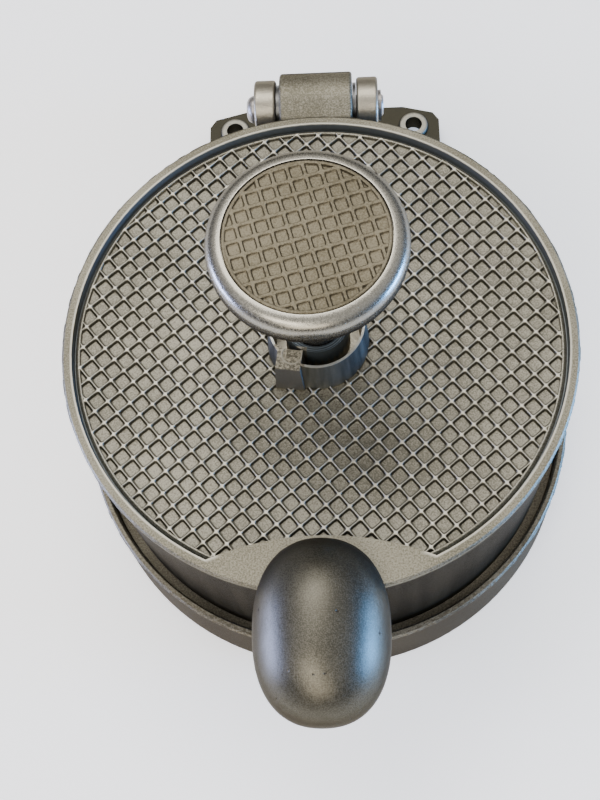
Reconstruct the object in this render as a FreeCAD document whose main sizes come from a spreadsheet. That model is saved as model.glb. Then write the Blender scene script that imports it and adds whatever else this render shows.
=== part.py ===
import FreeCAD, Part
import math
import os
import Sketcher

# A hinged patty press with a sprung plunger, in millimetres.
# +Z is up, +Y points to the hinge at the back and -Y to the handle at the front.
# The origin is under the middle of the whole press, at the level its rubber feet stand on.
# Each piece is drawn round the plunger's axis, which stands axis_row from the origin along Y.

Vector = FreeCAD.Vector
doc = FreeCAD.newDocument("patty_press")
sheet = doc.addObject("Spreadsheet::Sheet", "dims")

DIMENSIONS = [
    ("axis_row", -10.45),
    # base dish, its feet and its rear tail
    ("foot_proud", 2.0), ("foot_height", 4.0), ("foot_radius", 6.0),
    ("base_foot_radius", 69.6), ("base_rim_radius", 68.9), ("base_mouth_radius", 66.8),
    ("base_rim_top", 28.2), ("floor_top", 22.0), ("floor_thick", 3.5),
    ("tail_half_width", 38.6), ("tail_end", 116.0), ("tail_thick", 5.0),
    ("mount_spacing", 60.0), ("mount_row", 108.2), ("mount_hole_radius", 2.8),
    ("mount_boss_radius", 5.0), ("mount_boss_height", 1.4),
    ("front_foot_reach", 40.0), ("rear_foot_side", 29.0), ("rear_foot_row", 92.0),
    # hinge
    ("pin_row", 74.5), ("pin_height", 70.0), ("pin_radius", 3.0), ("pin_play", 0.05),
    ("ear_radius", 7.8), ("ear_inside", 11.15), ("ear_outside", 17.05),
    ("knuckle_radius", 9.4), ("knuckle_half_width", 10.0), ("washer_thick", 0.95),
    ("pin_head_radius", 3.85), ("pin_head_height", 2.4), ("clip_thick", 0.8),
    # lid: ring wall, lip, recess, guide tube, collar and inner boss
    ("lid_top", 80.0), ("lip_radius", 65.0), ("lip_height", 3.0), ("rim_inner_radius", 62.5),
    ("recess_depth", 3.0), ("lid_thick", 3.5), ("ring_radius", 64.25), ("ring_bore", 61.0),
    ("ring_bottom", 22.3), ("collar_radius", 11.9), ("collar_foot_radius", 12.9),
    ("collar_top", 89.2), ("collar_wall", 0.55), ("tube_radius", 7.8), ("neck_bore", 6.3),
    ("inner_boss_radius", 10.0), ("inner_boss_bottom", 55.0), ("inner_boss_web", 3.0),
    ("stem_bore", 3.08), ("pad_edge_row", 50.9), ("pad_arc_radius", 71.5),
    ("block_left", 9.0), ("block_right", 1.7), ("block_front", 13.6), ("block_turn", 8.0),
    # handle
    ("handle_row", 73.5), ("handle_half_width", 16.1), ("handle_half_length", 21.6),
    ("handle_fullness", 2.35), ("handle_level", 79.0), ("handle_screw_row", 56.5), ("handle_screw_side", 6.0),
    # plunger
    ("knob_top", 134.0), ("knob_height", 11.5), ("knob_radius", 22.0),
    ("inlay_radius", 18.2), ("inlay_thick", 1.6), ("inlay_gap", 0.2),
    ("neck_radius", 6.0), ("neck_bottom", 87.0), ("neck_hollow", 5.0), ("neck_roof", 112.0),
    ("stem_radius", 3.0), ("stem_bottom", 54.7), ("stem_top", 122.0),
    ("plate_radius", 60.6), ("plate_top", 53.7), ("plate_thick", 4.0),
    ("spring_radius", 4.05), ("spring_wire", 0.55), ("spring_turns", 17.0),
    ("seat_thick", 0.8),
]
for row, (alias, number) in enumerate(DIMENSIONS, start=1):
    sheet.set(f"A{row}", alias.replace("_", " "))
    sheet.set(f"B{row}", str(number))
    sheet.setAlias(f"B{row}", alias)
doc.recompute()


def value(expression):
    """Number that an expression on the sheet gives now."""
    return float(sheet.evalExpression(expression))


def bind(thing, prop, expression):
    """Ties one property of an object to the sheet."""
    thing.setExpression(prop, expression)


def place(thing, across, along, up):
    """Ties an object's position to the sheet."""
    bind(thing, "Placement.Base.x", across)
    bind(thing, "Placement.Base.y", along)
    bind(thing, "Placement.Base.z", up)


def stand(piece, across="0", along="0", up="0"):
    """Puts a finished piece at a place given from the foot of the plunger's axis."""
    place(piece, across, f"{along} + dims.axis_row", up)
    return piece


# ---------------------------------------------------------------- sketching helpers

def new_body(label):
    body = doc.addObject("PartDesign::Body", label)
    body.Label = label
    return body


def new_sketch(body, name, role, lift=None):
    """Sketch on one of the body's own origin planes, moved off it by lift."""
    sketch = body.newObject("Sketcher::SketchObject", name)
    plane = [item for item in body.Origin.OriginFeatures if item.Role == role][0]
    sketch.AttachmentSupport = [(plane, "")]
    sketch.MapMode = "FlatFace"
    if lift:
        bind(sketch, "AttachmentOffset.Base.z", lift)
    return sketch


def hold_point(sketch, geometry, point, across, up):
    """Fixes one point of a sketch at two expressions measured from its origin."""
    for kind, axis, expression in (("DistanceX", -2, across), ("DistanceY", -1, up)):
        number = value(expression)
        if abs(number) < 1e-9:
            sketch.addConstraint(Sketcher.Constraint("PointOnObject", geometry, point, axis))
        else:
            index = sketch.addConstraint(
                Sketcher.Constraint(kind, -1, 1, geometry, point, number))
            bind(sketch, f"Constraints[{index}]", expression)


def draw_outline(sketch, corners):
    """Closed outline of straight edges through (across, up) expressions."""
    first = sketch.GeometryCount
    count = len(corners)
    points = [Vector(value(across), value(up), 0) for across, up in corners]
    for index in range(count):
        sketch.addGeometry(Part.LineSegment(points[index], points[(index + 1) % count]), False)
    for index in range(count):
        following = first + (index + 1) % count
        sketch.addConstraint(
            Sketcher.Constraint("Coincident", first + index, 2, following, 1))
    for index, (across, up) in enumerate(corners):
        hold_point(sketch, first + index, 1, across, up)


def draw_circle(sketch, across, up, radius):
    centre = Vector(value(across), value(up), 0)
    circle = sketch.addGeometry(Part.Circle(centre, Vector(0, 0, 1), value(radius)), False)
    hold_point(sketch, circle, 3, across, up)
    index = sketch.addConstraint(Sketcher.Constraint("Radius", circle, value(radius)))
    bind(sketch, f"Constraints[{index}]", radius)


def draw_teardrop(sketch, first, second, centre, radius):
    """Round end of the given centre and radius, with a tangent flank down to each corner."""
    middle = Vector(value(centre[0]), value(centre[1]), 0)
    size = value(radius)
    corners = [Vector(value(across), value(up), 0) for across, up in (first, second)]
    angles = []
    for corner, sign in zip(corners, (-1, 1)):
        arm = corner - middle
        angles.append(math.atan2(arm.y, arm.x) + sign * math.acos(size / arm.Length))
    touch = [middle + Vector(math.cos(angle), math.sin(angle), 0) * size for angle in angles]
    end_angle = angles[0] if angles[0] > angles[1] else angles[0] + 2 * math.pi
    circle = Part.Circle(middle, Vector(0, 0, 1), size)
    down = sketch.addGeometry(Part.LineSegment(corners[0], touch[0]), False)
    arc = sketch.addGeometry(Part.ArcOfCircle(circle, angles[1], end_angle), False)
    up = sketch.addGeometry(Part.LineSegment(touch[1], corners[1]), False)
    base = sketch.addGeometry(Part.LineSegment(corners[1], corners[0]), False)
    for kind, one, one_end, other, other_end in (
            ("Tangent", down, 2, arc, 2), ("Tangent", arc, 1, up, 1),
            ("Coincident", up, 2, base, 1), ("Coincident", base, 2, down, 1)):
        sketch.addConstraint(Sketcher.Constraint(kind, one, one_end, other, other_end))
    hold_point(sketch, down, 1, *first)
    hold_point(sketch, up, 2, *second)
    hold_point(sketch, arc, 3, *centre)
    index = sketch.addConstraint(Sketcher.Constraint("Radius", arc, size))
    bind(sketch, f"Constraints[{index}]", radius)


def revolve(body, name, corners):
    """Turns an outline of (radius, height) corners once round Z."""
    sketch = new_sketch(body, name + "_outline", "XZ_Plane")
    draw_outline(sketch, corners)
    feature = body.newObject("PartDesign::Revolution", name)
    feature.Profile = sketch
    feature.ReferenceAxis = (sketch, ["V_Axis"])
    feature.Angle = 360
    doc.recompute()
    return feature


def pad(body, name, sketch, length, midplane=False, taper=0.0):
    feature = body.newObject("PartDesign::Pad", name)
    feature.Profile = sketch
    feature.Midplane = midplane
    feature.TaperAngle = taper
    bind(feature, "Length", length)
    doc.recompute()
    return feature


def pocket(body, name, sketch, length, midplane=False, upwards=False):
    """Cuts a sketch out of the body and makes sure that something was cut."""
    before = body.Shape.Volume
    feature = body.newObject("PartDesign::Pocket", name)
    feature.Profile = sketch
    feature.Midplane = midplane
    feature.Reversed = upwards
    bind(feature, "Length", length)
    doc.recompute()
    if body.Shape.Volume >= before - 1e-6:
        raise RuntimeError(f"{body.Label}: {name} cut nothing")
    return feature


def round_edges(body, name, rings, radius, axis=Vector(0, 0, 1)):
    """Fillets the circular edges given as (circle radius, position along the axis)."""
    def wanted(edge):
        curve = edge.Curve
        if not isinstance(curve, Part.Circle) or abs(abs(curve.Axis.dot(axis)) - 1) > 1e-6:
            return False
        return any(abs(curve.Radius - value(ring)) < 1e-3
                   and abs(curve.Center.dot(axis) - value(level)) < 1e-3
                   for ring, level in rings)

    tip = body.Tip
    edges = [f"Edge{index}" for index, edge in enumerate(tip.Shape.Edges, start=1)
             if wanted(edge)]
    if len(edges) < len(rings):
        raise RuntimeError(f"{body.Label}: {name} found {len(edges)} edges")
    feature = body.newObject("PartDesign::Fillet", name)
    feature.Base = (tip, edges)
    feature.Radius = radius
    doc.recompute()
    return feature


# ---------------------------------------------------------------- base group

def make_base():
    """Cast dish with a rear tail, two mounting bosses and a forked hinge post."""
    body = new_body("base")

    # Side view of the post: a round end for the pin on a foot that widens to the back.
    post = new_sketch(body, "post_outline", "YZ_Plane")
    draw_teardrop(post,
                  ("dims.pin_row - dims.ear_radius + 0.6", "dims.foot_proud + 1"),
                  ("dims.mount_row - 7", "dims.foot_proud + 1"),
                  ("dims.pin_row", "dims.pin_height"), "dims.ear_radius")
    pad(body, "post", post, "2 * dims.ear_outside", midplane=True)

    # The gap between the ears runs down to a thin web behind the dish.
    gap = new_sketch(body, "gap_outline", "YZ_Plane")
    draw_outline(gap, [
        ("dims.pin_row + 3", "dims.foot_proud + dims.tail_thick"),
        ("dims.mount_row", "dims.foot_proud + dims.tail_thick"),
        ("dims.mount_row", "dims.pin_height + 12"),
        ("dims.base_foot_radius - 8", "dims.pin_height + 12"),
        ("dims.base_foot_radius - 8", "dims.pin_height - 24"),
        ("dims.pin_row + 3", "dims.pin_height - 24"),
    ])
    pocket(body, "gap", gap, "2 * dims.ear_inside", midplane=True)
    bore = new_sketch(body, "pin_bore_outline", "YZ_Plane")
    draw_circle(bore, "dims.pin_row", "dims.pin_height", "dims.pin_radius + dims.pin_play")
    pocket(body, "pin_bore", bore, "3 * dims.ear_outside", midplane=True)
    round_edges(body, "ear_rounding",
                [("dims.ear_radius", f"{side}dims.ear_{face}")
                 for side in ("-", "") for face in ("inside", "outside")],
                0.8, axis=Vector(1, 0, 0))

    wall = "dims.floor_top - dims.floor_thick"
    revolve(body, "dish", [
        ("0", wall),
        ("dims.base_mouth_radius - 1.6", wall),
        ("dims.base_foot_radius - 3.5", "dims.foot_proud"),
        ("dims.base_foot_radius", "dims.foot_proud"),
        ("dims.base_rim_radius", "dims.base_rim_top - 0.5"),
        ("dims.base_rim_radius - 0.5", "dims.base_rim_top"),
        ("dims.base_mouth_radius + 0.5", "dims.base_rim_top"),
        ("dims.base_mouth_radius", "dims.base_rim_top - 0.5"),
        ("dims.base_mouth_radius - 0.3", "dims.floor_top"),
        ("0", "dims.floor_top"),
    ])
    tail = new_sketch(body, "tail_outline", "XY_Plane", "dims.foot_proud")
    draw_outline(tail, [
        ("-dims.tail_half_width", "dims.base_foot_radius - 14"),
        ("dims.tail_half_width", "dims.base_foot_radius - 14"),
        ("dims.tail_half_width", "dims.tail_end - 5.5"),
        ("dims.tail_half_width - 2", "dims.tail_end - 2.6"),
        ("dims.tail_half_width - 12", "dims.tail_end"),
        ("12 - dims.tail_half_width", "dims.tail_end"),
        ("2 - dims.tail_half_width", "dims.tail_end - 2.6"),
        ("-dims.tail_half_width", "dims.tail_end - 5.5"),
    ])
    pad(body, "tail", tail, "dims.tail_thick")

    # Two raised bosses carry the mounting holes.
    boss_top = "dims.foot_proud + dims.tail_thick + dims.mount_boss_height"
    bosses = new_sketch(body, "boss_outline", "XY_Plane", "dims.foot_proud + 1")
    holes_wanted = []
    for side in ("-", ""):
        across = f"{side}dims.mount_spacing / 2"
        draw_circle(bosses, across, "dims.mount_row", "dims.mount_boss_radius")
        holes_wanted.append(across)
    pad(body, "bosses", bosses, "dims.tail_thick + dims.mount_boss_height - 1")
    round_edges(body, "boss_rounding", [("dims.mount_boss_radius", boss_top)], 1.1)
    holes = new_sketch(body, "hole_outline", "XY_Plane", boss_top)
    for across in holes_wanted:
        draw_circle(holes, across, "dims.mount_row", "dims.mount_hole_radius")
    pocket(body, "mount_holes", holes, "dims.tail_thick + dims.mount_boss_height")

    # Posts under the floor and pockets under the tail seat the four rubber feet.
    posts = new_sketch(body, "foot_post_outline", "XY_Plane", "dims.foot_height")
    for side in ("-", ""):
        draw_circle(posts, f"{side}dims.front_foot_reach", "-dims.front_foot_reach",
                    "dims.foot_radius + 1")
    pad(body, "foot_posts", posts, "dims.floor_top - dims.foot_height - 1")
    seats = new_sketch(body, "foot_seat_outline", "XY_Plane", "dims.foot_proud")
    for side in ("-", ""):
        draw_circle(seats, f"{side}dims.rear_foot_side", "dims.rear_foot_row",
                    "dims.foot_radius + 0.3")
    pocket(body, "foot_seats", seats, "dims.foot_height - dims.foot_proud", upwards=True)
    threads = new_sketch(body, "foot_thread_outline", "XY_Plane", "dims.foot_height")
    for across, along in foot_places():
        draw_circle(threads, across, along, "1.5")
    pocket(body, "foot_threads", threads, "2.6", upwards=True)

    # Six ribs stiffen the floor from below.
    rib = new_sketch(body, "rib_outline", "XY_Plane", "dims.floor_top - dims.floor_thick - 6")
    draw_outline(rib, [
        ("12", "-1.2"), ("dims.base_mouth_radius", "-1.2"),
        ("dims.base_mouth_radius", "1.2"), ("12", "1.2"),
    ])
    first_rib = pad(body, "rib", rib, "7")
    pattern = body.newObject("PartDesign::PolarPattern", "ribs")
    pattern.Originals = [first_rib]
    pattern.Axis = (rib, ["N_Axis"])
    pattern.Angle = 360
    pattern.Occurrences = 6
    body.Tip = pattern
    doc.recompute()
    return stand(body)


def foot_places():
    """Where the four feet stand, as pairs of expressions."""
    return [("-dims.front_foot_reach", "-dims.front_foot_reach"),
            ("dims.front_foot_reach", "-dims.front_foot_reach"),
            ("-dims.rear_foot_side", "dims.rear_foot_row"),
            ("dims.rear_foot_side", "dims.rear_foot_row")]


def make_feet():
    """Rubber feet, each with a sunk bore for its screw."""
    names = ["foot_front_left", "foot_front_right", "foot_rear_left", "foot_rear_right"]
    feet = []
    for name, (across, along) in zip(names, foot_places()):
        body = new_body(name)
        revolve(body, name + "_turning", [
            ("1.7", "2.2"), ("3.2", "2.2"), ("3.2", "0"), ("dims.foot_radius - 0.8", "0"),
            ("dims.foot_radius", "dims.foot_height - 1.5"),
            ("dims.foot_radius", "dims.foot_height"), ("1.7", "dims.foot_height"),
        ])
        feet.append(stand(body, across, along))
    return feet


def make_foot_screws():
    """Four pan-head screws, one node."""
    screws = []
    for index, (across, along) in enumerate(foot_places()):
        head = doc.addObject("Part::Cylinder", f"foot_screw_head_{index}")
        head.Radius = 2.8
        head.Height = 1.6
        place(head, across, along, "0.6")
        shank = doc.addObject("Part::Cylinder", f"foot_screw_shank_{index}")
        shank.Radius = 1.45
        shank.Height = 4.3
        place(shank, across, along, "2.1")
        screw = doc.addObject("Part::Fuse", f"foot_screw_{index}")
        screw.Base = head
        screw.Tool = shank
        screws.append(screw)
    return group("foot_screws", screws)


def group(label, members):
    """Several separate solids in one node."""
    compound = doc.addObject("Part::Compound", label)
    compound.Label = label
    compound.Links = members
    return stand(compound)


def lay_along_hinge(body, start):
    """Turns a piece built up Z so that it points along +X from start on the hinge axis."""
    body.Placement.Rotation = FreeCAD.Rotation(Vector(0, 1, 0), 90)
    return stand(body, start, "dims.pin_row", "dims.pin_height")


def make_hinge_pin():
    """Pin with a domed head on the left, from x = -ear_outside to just past the clip."""
    body = new_body("hinge_pin")
    revolve(body, "pin_turning", [
        ("0", "0"), ("dims.pin_head_radius", "0"),
        ("dims.pin_head_radius", "dims.pin_head_height"),
        ("dims.pin_radius", "dims.pin_head_height"),
        ("dims.pin_radius", "dims.pin_head_height + 2 * dims.ear_outside + 1.1"),
        ("dims.pin_radius - 0.5", "dims.pin_head_height + 2 * dims.ear_outside + 1.6"),
        ("0", "dims.pin_head_height + 2 * dims.ear_outside + 1.6"),
    ])
    round_edges(body, "head_dome", [("dims.pin_head_radius", "0")],
                value("dims.pin_head_height") - 0.2)
    return lay_along_hinge(body, "-dims.ear_outside - dims.pin_head_height - 0.05")


def make_hinge_ring(label, start, thick, outer):
    """Flat ring on the hinge pin: a washer or the retaining clip."""
    body = new_body(label)
    inner = "dims.pin_radius + 0.05"
    revolve(body, label + "_turning",
            [(inner, "0"), (outer, "0"), (outer, thick), (inner, thick)])
    return lay_along_hinge(body, start)


# ---------------------------------------------------------------- lid group

def make_lid():
    """Cast lid: ring wall, recessed top, guide tube in a collar, hinge knuckle."""
    body = new_body("lid")

    # Knuckle between the ears, with flanks that run into the ring wall.
    knuckle = new_sketch(body, "knuckle_outline", "YZ_Plane")
    draw_teardrop(knuckle,
                  ("dims.ring_radius - 3", "dims.pin_height + 5"),
                  ("dims.ring_radius - 3", "dims.pin_height - 10"),
                  ("dims.pin_row", "dims.pin_height"), "dims.knuckle_radius")
    pad(body, "knuckle", knuckle, "2 * dims.knuckle_half_width", midplane=True)
    bore = new_sketch(body, "knuckle_bore_outline", "YZ_Plane")
    draw_circle(bore, "dims.pin_row", "dims.pin_height", "dims.pin_radius + dims.pin_play")
    pocket(body, "knuckle_bore", bore, "2 * dims.knuckle_half_width + 2", midplane=True)
    round_edges(body, "knuckle_rounding",
                [("dims.knuckle_radius", f"{side}dims.knuckle_half_width") for side in ("-", "")],
                0.8, axis=Vector(1, 0, 0))

    recess = "dims.lid_top - dims.recess_depth"
    underside = "dims.lid_top - dims.recess_depth - dims.lid_thick"
    boss_roof = "dims.inner_boss_bottom + dims.inner_boss_web"
    revolve(body, "shell", [
        ("dims.ring_bore", "dims.ring_bottom"),
        ("dims.ring_radius", "dims.ring_bottom"),
        ("dims.ring_radius - 0.05", "dims.lid_top - dims.lip_height"),
        ("dims.lip_radius - 0.3", "dims.lid_top - dims.lip_height"),
        ("dims.lip_radius", "dims.lid_top - dims.lip_height + 0.5"),
        ("dims.lip_radius", "dims.lid_top - 0.5"),
        ("dims.lip_radius - 0.5", "dims.lid_top"),
        ("dims.rim_inner_radius", "dims.lid_top"),
        ("dims.rim_inner_radius - 0.2", recess),
        ("dims.collar_foot_radius", recess),
        ("dims.collar_radius", "dims.collar_top"),
        ("dims.collar_radius - dims.collar_wall", "dims.collar_top"),
        ("dims.collar_radius - dims.collar_wall - 0.8", recess + " + 1"),
        ("dims.tube_radius + 0.3", recess + " + 1"),
        ("dims.tube_radius", "dims.collar_top - 0.1"),
        ("dims.neck_bore", "dims.collar_top - 0.1"),
        ("dims.neck_bore", boss_roof),
        ("dims.stem_bore", boss_roof),
        ("dims.stem_bore", "dims.inner_boss_bottom"),
        ("dims.inner_boss_radius", "dims.inner_boss_bottom"),
        ("dims.inner_boss_radius + 0.8", underside),
        ("dims.ring_bore - 0.4", underside),
    ])

    # Smooth raised pad in front, between an arc and the rim, that the handle sits on.
    rim = 0.5 * (value("dims.rim_inner_radius") + value("dims.lip_radius"))
    arc = value("dims.pad_arc_radius")
    centre = value("dims.pad_edge_row") + arc
    meet_row = (centre ** 2 + rim ** 2 - arc ** 2) / (2 * centre)
    meet_side = math.sqrt(rim ** 2 - meet_row ** 2)
    outline = new_sketch(body, "handle_pad_outline", "XY_Plane", recess)
    back = outline.addGeometry(Part.Arc(Vector(meet_side, -meet_row, 0),
                                        Vector(0, arc - centre, 0),
                                        Vector(-meet_side, -meet_row, 0)), False)
    front = outline.addGeometry(Part.Arc(Vector(-meet_side, -meet_row, 0),
                                         Vector(0, -rim, 0),
                                         Vector(meet_side, -meet_row, 0)), False)
    hold_point(outline, front, 3, "0", "0")
    hold_point(outline, back, 3, "0", "-dims.pad_edge_row - dims.pad_arc_radius")
    for arc_id, radius in ((front, "(dims.rim_inner_radius + dims.lip_radius) / 2"),
                           (back, "dims.pad_arc_radius")):
        index = outline.addConstraint(Sketcher.Constraint("Radius", arc_id, value(radius)))
        bind(outline, f"Constraints[{index}]", radius)
    for (first, end), (second, start) in (((back, 2), (front, 1)), ((front, 2), (back, 1))):
        outline.addConstraint(Sketcher.Constraint("Coincident", first, end, second, start))
    pad(body, "handle_pad", outline, "dims.recess_depth")

    # Block that bridges the collar and the guide tube, with a round ejector mark on top.
    block = new_sketch(body, "block_outline", "XY_Plane", recess)
    block.AttachmentOffset = FreeCAD.Placement(
        block.AttachmentOffset.Base, FreeCAD.Rotation(Vector(0, 0, 1), -value("dims.block_turn")))
    draw_outline(block, [
        ("-dims.block_left", "0.8 - dims.tube_radius"),
        ("-dims.block_left", "-dims.block_front"),
        ("-dims.block_right", "-dims.block_front"),
        ("-dims.block_right", "0.8 - dims.tube_radius"),
    ])
    pad(body, "block", block, "dims.collar_top - dims.lid_top + dims.recess_depth", taper=-3.0)
    mark = new_sketch(body, "ejector_mark_outline", "XY_Plane", "dims.collar_top")
    draw_circle(mark, "-6.0", "-8.2", "2.4")
    pocket(body, "ejector_mark", mark, "0.4")

    # Clearance holes through the pad for the handle's two screws.
    screws = new_sketch(body, "handle_hole_outline", "XY_Plane", "dims.lid_top")
    for side in ("-", ""):
        draw_circle(screws, f"{side}dims.handle_screw_side", "-dims.handle_screw_row", "2.2")
    pocket(body, "handle_holes", screws, "dims.recess_depth + dims.lid_thick")
    return stand(body)


def make_handle():
    """Bulb-shaped handle, cut away below the pad so that it sits on it and on the lip."""
    body = new_body("handle")
    half_length = value("dims.handle_half_length")
    half_width = value("dims.handle_half_width")
    fullness = value("dims.handle_fullness")
    rim = []
    for step in range(25):
        turn = math.pi * step / 24
        along = math.copysign(abs(math.cos(turn)) ** (2 / fullness), -math.cos(turn))
        rim.append(Vector(half_length * along, half_width * math.sin(turn) ** (2 / fullness), 0))
    rim[0], rim[-1] = Vector(-half_length, 0, 0), Vector(half_length, 0, 0)
    curve = Part.BSplineCurve()
    curve.interpolate(Points=rim, InitialTangent=Vector(0, 1, 0), FinalTangent=Vector(0, -1, 0))
    outline = new_sketch(body, "handle_outline", "YZ_Plane")
    edge = outline.addGeometry(curve, False)
    axis = outline.addGeometry(Part.LineSegment(rim[-1], rim[0]), False)
    outline.addConstraint(Sketcher.Constraint("Block", edge))
    outline.addConstraint(Sketcher.Constraint("Block", axis))
    bulb = body.newObject("PartDesign::Revolution", "handle_bulb")
    bulb.Profile = outline
    bulb.ReferenceAxis = (outline, ["H_Axis"])
    bulb.Angle = 360
    doc.recompute()
    level = "dims.lid_top - dims.handle_level"
    seat = new_sketch(body, "handle_seat_outline", "XY_Plane", level)
    draw_circle(seat, "0", "dims.handle_row", "dims.lip_radius + 0.05")
    pocket(body, "handle_seat", seat, "30")
    threads = new_sketch(body, "handle_thread_outline", "XY_Plane", level)
    for side in ("-", ""):
        draw_circle(threads, f"{side}dims.handle_screw_side",
                    "dims.handle_row - dims.handle_screw_row", "1.95")
    pocket(body, "handle_threads", threads, "5", upwards=True)
    return stand(body, "0", "-dims.handle_row", "dims.handle_level")


def make_handle_screws():
    """Two screws up through the pad from inside the ring, and their lock washers."""
    seat = "dims.lid_top - dims.recess_depth - dims.lid_thick"
    screws = []
    washers = []
    for index, side in enumerate(("-", "")):
        spot = (f"{side}dims.handle_screw_side", "-dims.handle_screw_row")
        head = doc.addObject("Part::Cylinder", f"handle_screw_head_{index}")
        head.Radius = 3.4
        head.Height = 2.6
        place(head, *spot, seat + " - 0.9 - 2.6")
        socket = doc.addObject("Part::Prism", f"handle_screw_socket_{index}")
        socket.Polygon = 6
        socket.Circumradius = 1.7
        socket.Height = 1.6
        place(socket, *spot, seat + " - 0.9 - 2.7")
        shank = doc.addObject("Part::Cylinder", f"handle_screw_shank_{index}")
        shank.Radius = 1.9
        bind(shank, "Height", "dims.recess_depth + dims.lid_thick + 0.9 + 4.5")
        place(shank, *spot, seat + " - 0.95")
        whole = doc.addObject("Part::Fuse", f"handle_screw_whole_{index}")
        whole.Base = head
        whole.Tool = shank
        screw = doc.addObject("Part::Cut", f"handle_screw_{index}")
        screw.Base = whole
        screw.Tool = socket
        screws.append(screw)
        disc = doc.addObject("Part::Cylinder", f"handle_washer_disc_{index}")
        disc.Radius = 3.3
        disc.Height = 0.85
        place(disc, *spot, seat + " - 0.87")
        hole = doc.addObject("Part::Cylinder", f"handle_washer_hole_{index}")
        hole.Radius = 2.0
        hole.Height = 2.0
        place(hole, *spot, seat + " - 1.5")
        washer = doc.addObject("Part::Cut", f"handle_washer_{index}")
        washer.Base = disc
        washer.Tool = hole
        washers.append(washer)
    return [group("handle_screws", screws), group("handle_lock_washers", washers)]


# ---------------------------------------------------------------- plunger group

def make_spring_seat():
    """Steel washer that the spring turns on, at the bottom of the guide bore."""
    body = new_body("spring_seat")
    floor = "dims.inner_boss_bottom + dims.inner_boss_web"
    revolve(body, "seat_turning", [
        ("dims.stem_radius + 0.3", floor),
        ("dims.neck_bore - 0.3", floor),
        ("dims.neck_bore - 0.3", floor + " + dims.seat_thick"),
        ("dims.stem_radius + 0.3", floor + " + dims.seat_thick"),
    ])
    return stand(body)


def make_spring():
    """Round-wire compression spring from its seat up into the hollow neck."""
    wire = value("dims.spring_wire")
    radius = value("dims.spring_radius")
    bottom = value("dims.inner_boss_bottom + dims.inner_boss_web + dims.seat_thick") + wire
    length = value("dims.neck_roof") - wire - bottom
    pitch = length / value("dims.spring_turns")
    helix = Part.makeHelix(pitch, length, radius)
    section = Part.Wire([Part.makeCircle(wire, Vector(radius, 0, 0), Vector(0, 1, 0))])
    coil = Part.Wire(helix.Edges).makePipeShell([section], True, True)
    spring = doc.addObject("Part::Feature", "return_spring")
    spring.Label = "return_spring"
    spring.Shape = coil
    spring.Placement = FreeCAD.Placement(Vector(0, value("dims.axis_row"), bottom),
                                         FreeCAD.Rotation())
    return spring


def make_stem():
    """Steel rod from the press plate up into the knob."""
    body = new_body("plunger_stem")
    revolve(body, "stem_turning", [
        ("0", "dims.stem_bottom + 9"), ("1.5", "dims.stem_bottom + 9"),
        ("1.5", "dims.stem_bottom"), ("dims.stem_radius", "dims.stem_bottom"),
        ("dims.stem_radius", "dims.stem_top - 0.6"),
        ("dims.stem_radius - 0.6", "dims.stem_top"), ("0", "dims.stem_top"),
    ])
    return stand(body)


def make_knob():
    """Mushroom knob with a hollow neck that slides in the lid's guide tube."""
    body = new_body("knob_body")
    underside = "dims.knob_top - dims.knob_height"
    revolve(body, "knob_turning", [
        ("0", "dims.knob_top - dims.inlay_thick"),
        ("dims.inlay_radius + dims.inlay_gap", "dims.knob_top - dims.inlay_thick"),
        ("dims.inlay_radius + dims.inlay_gap", "dims.knob_top"),
        ("dims.knob_radius", "dims.knob_top"),
        ("dims.knob_radius", underside + " + 1.2"),
        ("dims.neck_radius + 5", underside),
        ("dims.neck_radius", underside + " - 3"),
        ("dims.neck_radius", "dims.neck_bottom"),
        ("dims.neck_hollow", "dims.neck_bottom"),
        ("dims.neck_hollow", "dims.neck_roof"),
        ("dims.stem_radius + 0.02", "dims.neck_roof"),
        ("dims.stem_radius + 0.02", "dims.stem_top + 0.4"),
        ("0", "dims.stem_top + 0.4"),
    ])
    round_edges(body, "rim_top_round", [("dims.knob_radius", "dims.knob_top")], 3.4)
    round_edges(body, "rim_under_round", [("dims.knob_radius", underside + " + 1.2")], 6.0)
    return stand(body)


def make_inlay():
    """Thin patterned disc let into the knob's top."""
    body = new_body("knob_inlay")
    revolve(body, "inlay_turning", [
        ("0", "dims.knob_top - dims.inlay_thick"),
        ("dims.inlay_radius", "dims.knob_top - dims.inlay_thick"),
        ("dims.inlay_radius", "dims.knob_top - 0.25"),
        ("dims.inlay_radius - 0.25", "dims.knob_top"),
        ("0", "dims.knob_top"),
    ])
    return stand(body)


def make_press_plate():
    """Flat disc that fills the ring, sunk in the middle for its screw."""
    body = new_body("press_plate")
    bottom = "dims.plate_top - dims.plate_thick"
    revolve(body, "plate_turning", [
        ("2.2", "dims.plate_top - 1.2"), ("2.2", "dims.plate_top"),
        ("dims.plate_radius - 0.6", "dims.plate_top"),
        ("dims.plate_radius", "dims.plate_top - 0.6"),
        ("dims.plate_radius", bottom + " + 0.6"),
        ("dims.plate_radius - 0.6", bottom), ("5.3", bottom),
    ])
    return stand(body)


def make_plate_washer():
    """Washer between the press plate and the stem's end."""
    body = new_body("plate_washer")
    revolve(body, "washer_turning", [
        ("2.2", "dims.plate_top"), ("7", "dims.plate_top"),
        ("7", "dims.stem_bottom"), ("2.2", "dims.stem_bottom"),
    ])
    return stand(body)


def make_plate_screw():
    """Countersunk screw up through the press plate into the stem."""
    body = new_body("plate_screw")
    bottom = "dims.plate_top - dims.plate_thick"
    revolve(body, "screw_turning", [
        ("0", bottom + " + 1.6"), ("1.1", bottom + " + 1.6"), ("1.1", bottom + " + 0.1"),
        ("4.7", bottom + " + 0.1"), ("1.45", "dims.plate_top - 0.95"),
        ("1.45", "dims.stem_bottom + 8"), ("0", "dims.stem_bottom + 8"),
    ])
    return stand(body)


# ---------------------------------------------------------------- build, check, write

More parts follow.
